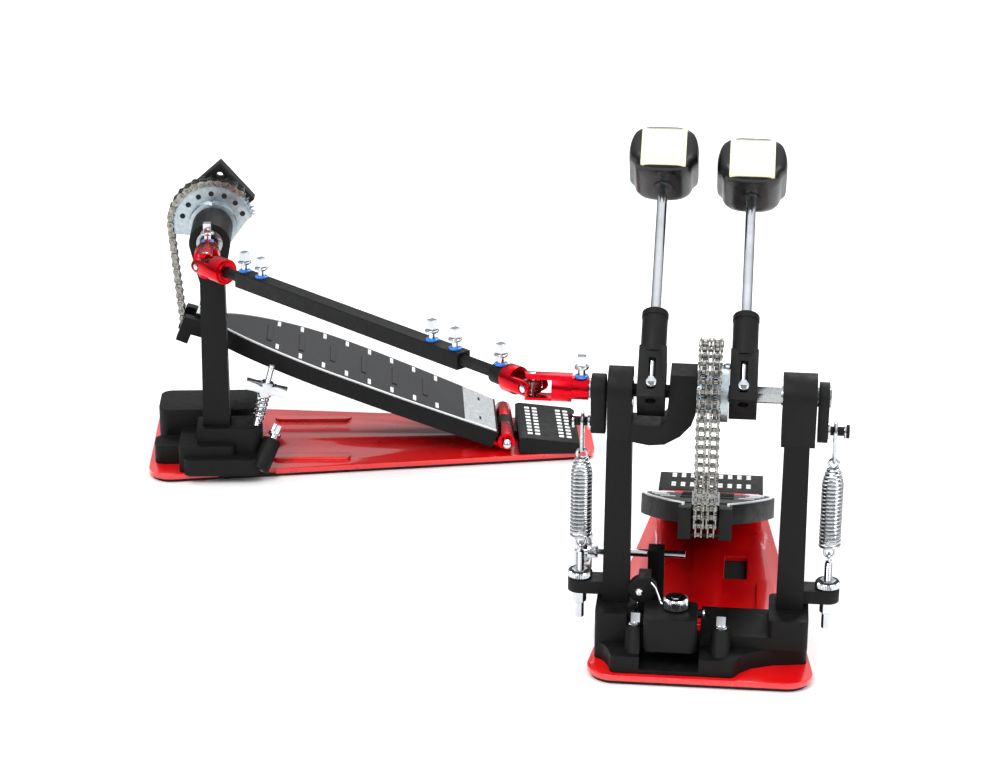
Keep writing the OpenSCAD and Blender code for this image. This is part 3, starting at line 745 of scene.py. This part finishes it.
def strip(drawing, x_low, x_high, start, stop, low, high, steps=30):
    """A band on the board's top that follows its bow. Its two sides are functions of the distance."""
    rings = []
    for k in range(steps + 1):
        t = start + (stop - start) * k / steps
        a, b, base = x_low(t), x_high(t), -sag(t)
        rings.append([Vector((a, -t, base + low)), Vector((b, -t, base + low)),
                      Vector((b, -t, base + high)), Vector((a, -t, base + high))])
    loft(drawing, rings)


def inset_edge(side, inset):
    """The line that runs inside one long edge of the board, as a function of the distance."""
    return lambda t: side * (half_at(t) - inset)


def footboard_trim(name, place, body):
    here = place @ BOARD
    line = draft()
    for side in (-1, 1):
        strip(line, inset_edge(side, 3.3), inset_edge(side, 1.6), 11, 252, 4.9, 6.0, 60)
    piece(line, name + "_board_line", TRIM_PAINT, body, here)
    panel = draft()
    strip(panel, inset_edge(-1, 3.4), inset_edge(1, 3.4), 11, 37.6, 4.9, 5.8, 6)
    piece(panel, name + "_board_heel_panel", BRUSHED_TRIM, body, here, ease=0.25)
    # Painted shade: two thin near-black slabs on the heel panel stand for the shadowed insides of its slots.
    slots = draft()
    for x in (-21, 21):
        slab(slots, [(x - 3.4, -25), (x + 3.4, -25), (x + 3.4, -23.2), (x - 3.4, -23.2)], 5.7, 5.9)
    piece(slots, name + "_board_panel_slot_shade", HOLE_SHADE_AND_FLAT_BLACK, body, here)
    bars = draft()
    for row in range(8):
        t = 60 + row * 19
        for side in (-1, 1):
            strip(bars, inset_edge(side, 17), inset_edge(side, 7), t, t + 2.6, 5.7, 6.5, 2)
    piece(bars, name + "_board_side_bars", TRIM_PAINT, body, here, ease=0.2)
    bracket = draft()
    slab(bracket, [(-BOARD_LEN + 7, 5.4), (-BOARD_LEN + 20, 5.4), (-BOARD_LEN + 20, 7), (-BOARD_LEN + 10, 7),
                   (-BOARD_LEN + 8.2, 14), (-BOARD_LEN + 7, 14)], -9, 9, "x")
    turning(bracket, [(0, 3.8), (1.6, 3.6), (2.6, 2.4)], (0, -BOARD_LEN + 15.5, 7), (0, 0, 1), 28)
    lowered = here @ Matrix.Translation((0, 0, -sag(BOARD_LEN - 19)))
    piece(bracket, name + "_board_toe_bracket", CHROME, body, lowered, ease=0.3)


def heel_trim(name, place, body):
    pads = draft()
    slope = math.atan2(5, 42)
    seat = place @ Matrix.Translation((0, 239, 21)) @ Matrix.Rotation(-slope, 4, "X")
    for y in (4, 10, 29, 35):
        for column in range(-4, 5):
            x = column * 7
            box(pads, (x - 1.7, y, -0.4), (x + 1.7, y + 4, 0.5))
    piece(pads, name + "_heel_pads", TRIM_PAINT, body, seat, ease=0.35)


def footboards():
    for name, place, frame_body in (("main", MAIN, "main_frame"), ("aux", AUX, "aux_frame")):
        footboard_trim(name, place, name + "_footboard")
        heel_trim(name, place, frame_body)


# ---- clamp, spurs and other small gear ----

def clamp_gear():
    screw = draft()
    knurled(screw, (-17, -24, 44.4), (0, 0, 1), 7.8, 8.2, 40)
    rod(screw, (-17, -24, 24.5), (-17, -24, 45), 3, 24)
    turning(screw, [(0, 3.4), (0.6, 3.0), (0.6, 0)], (-17, -24, 52.0), (0, 0, 1), 6)
    piece(screw, "clamp_screw_knurled", CHROME, "clamp_screw", MAIN, ["clamp_screw"])
    # Painted shade: a near-black disc on the screw's side stands for the shadowed inside of its cross hole.
    hole = draft()
    turning(hole, [(0, 1.9), (0.25, 1.9)], (-17, -32.1, 48.4), (0, -1, 0), 20)
    piece(hole, "clamp_screw_side_hole_shade", HOLE_SHADE_AND_FLAT_BLACK, "clamp_screw", MAIN)
    cheek = draft()
    turning(cheek, [(0, 8.4), (1, 9.4), (6, 9.4), (7, 8.4), (7.2, 5)], (-39.5, -6.5, 51), (0, -1, 0), 40)
    piece(cheek, "jaw_lever_cheek", POWDER_COAT, "hoop_jaw", MAIN)
    cam = draft()
    turning(cam, [(0, 2.9), (0.8, 2.7), (1.6, 1.9), (1.8, 0)], (-41.5, -13.6, 50), (0, -1, 0), 26)
    bail = [(-34, -13.5, 57), (-31, -15, 54), (-29, -16.5, 49.5), (-27.5, -18, 46), (-26, -19.5, 44.8)]
    wire(cam, bail, 0.8)
    piece(cam, "jaw_lever_cam_screw", CHROME, "hoop_jaw", MAIN)
    hinge = draft()
    for x in (-40.8, 0.6):
        turning(hinge, [(0, 3.8), (1.1, 3.4)], (x, 4, 28), (1 if x > 0 else -1, 0, 0), 28)
    piece(hinge, "jaw_pin_ends", CHROME, "main_frame", MAIN)


def plate_screws(name, place, body, spots):
    screws, sockets = draft(), draft()
    for x, y, z in spots:
        turning(screws, [(0, 4.2), (0.8, 4.0), (1.6, 3.0), (1.8, 2.0)], (x, y, z), (0, 0, 1), 30)
        # Painted shade: a near-black hexagon on each screw head stands for the shadowed inside of its socket.
        turning(sockets, [(0, 1.6), (0.2, 1.6)], (x, y, z + 1.75), (0, 0, 1), 6)
    piece(screws, name + "_plate_screws", CHROME, body, place)
    piece(sockets, name + "_plate_screw_socket_shade", HOLE_SHADE_AND_FLAT_BLACK, body, place)


def wing(drawing, at, axis_turn):
    """A chunky wing nut with two waisted lobes, standing on its own axis."""
    here = Matrix.Translation(at) @ axis_turn
    lobes = [(-16, -3.4), (-8, -2.4), (-4, -4.6), (4, -4.6), (8, -2.4), (16, -3.4),
             (16, 3.4), (8, 2.4), (4, 4.6), (-4, 4.6), (-8, 2.4), (-16, 3.4)]
    rings = []
    for level, width in ((0, 0.9), (0.8, 1.0), (7.2, 1.0), (8, 0.9)):
        rings.append([here @ Vector((x * width, y, level)) for y, x in lobes])
    loft(drawing, rings)


def aux_gear():
    """Wing bolt of the auxiliary pedal with its thread and spring, and the coil round its spur."""
    lean = Matrix.Rotation(math.radians(-15), 4, "X")
    foot = Vector((54, 21, 0))
    axis = lean.to_3x3() @ Vector((0, 0, 1))
    bolt = draft()
    wing(bolt, foot + axis * 68.6, lean)
    turning(bolt, [(66.6, 5.2), (68, 5.6), (77, 5.6), (78, 4.6), (78, 2.5)], foot, axis, 30)
    pitch = 1.4
    for k in range(46):
        turning(bolt, [(0, 2.1), (pitch * 0.5, 2.5), (pitch, 2.1)], foot + axis * (27 + k * pitch), axis, 18)
    piece(bolt, "aux_wing_bolt_turned", CHROME, "aux_wing", AUX, ["aux_wing_bolt"], smooth=40)
    coil = draft()
    points = []
    for k in range(5 * 16 + 1):
        angle = 2 * math.pi * k / 16
        across = lean.to_3x3() @ Vector((4.0 * math.cos(angle), 4.0 * math.sin(angle), 0))
        points.append(foot + axis * (47 + 19 * k / 80) + across)
    wire(coil, points, 0.8, 8)
    piece(coil, "aux_wing_spring", SPRING_WIRE, "aux_frame", AUX)


def small_gear():
    clamp_gear()
    aux_gear()
    plate_screws("main", MAIN, "main_frame", [(-57, 30, 7), (57, 30, 7), (0, 218, 7)])
    plate_screws("aux", AUX, "aux_frame", [(-57, 30, 7), (0, 218, 7)])


# ---- stage ----

def stage():
    ground = draft()
    reach = 6000
    slab(ground, [(-reach, -reach), (reach, -reach), (reach, reach), (-reach, reach)], -10, -0.2)
    paper = finish("matte_backdrop_paper", "#F4F4F3", "#F7F7F6", 400, 0.9)
    floor = piece(ground, "floor", paper, None, Matrix.Identity(4))
    world = bpy.data.worlds.new("studio")
    bpy.context.scene.world = world
    world.use_nodes = True
    tree = world.node_tree
    where = add(tree, "ShaderNodeTexCoord")
    split = add(tree, "ShaderNodeSeparateXYZ", {0: where.outputs["Generated"]})
    strength = add(tree, "ShaderNodeMapRange", {"Value": split.outputs["Z"], "From Min": 0.0, "From Max": 0.9,
                                                "To Min": 0.1, "To Max": 1.35})
    sky = tree.nodes["Background"]
    sky.inputs[0].default_value = (0.95, 0.97, 1.0, 1)
    tree.links.new(strength.outputs[0], sky.inputs[1])
    for name, at, size, power in (
            ("key", (-0.9, -1.3, 1.9), 1.2, 34),
            ("fill", (1.4, -0.9, 1.2), 1.4, 14),
            ("rim", (0.2, 1.6, 1.7), 1.3, 22)):
        lamp = bpy.data.lights.new(name, "AREA")
        lamp.shape = "DISK"
        lamp.size = size
        lamp.energy = power
        holder = bpy.data.objects.new(name, lamp)
        holder.location = at
        aim = Vector((-0.1, 0.1, 0.15)) - Vector(at)
        holder.rotation_euler = aim.to_track_quat("-Z", "Y").to_euler()
        bpy.context.collection.objects.link(holder)


def camera():
    """Looks down at the pair from the drum's side with a long lens."""
    azimuth, elevation, roll = math.radians(5.48), math.radians(20.46), math.radians(0.37)
    back = Vector((math.sin(azimuth) * math.cos(elevation), -math.cos(azimuth) * math.cos(elevation),
                   math.sin(elevation)))
    level = Vector((math.cos(azimuth), math.sin(azimuth), 0))
    up = back.cross(level)
    right = level * math.cos(roll) + up * math.sin(roll)
    up = up * math.cos(roll) - level * math.sin(roll)
    lens = bpy.data.cameras.new("camera")
    lens.sensor_width = 36
    lens.lens = 98.2
    lens.clip_end = 20
    eye_piece = bpy.data.objects.new("camera", lens)
    pose = Matrix((right, up, back)).transposed().to_4x4()
    pose.translation = Vector((22.6, -1654, 806.6)) * MM
    eye_piece.matrix_world = pose
    bpy.context.collection.objects.link(eye_piece)
    bpy.context.scene.camera = eye_piece
    bpy.context.scene.view_settings.view_transform = "Standard"


worked_parts()
beaters()
springs()
drives()
link()
footboards()
small_gear()
stage()
camera()
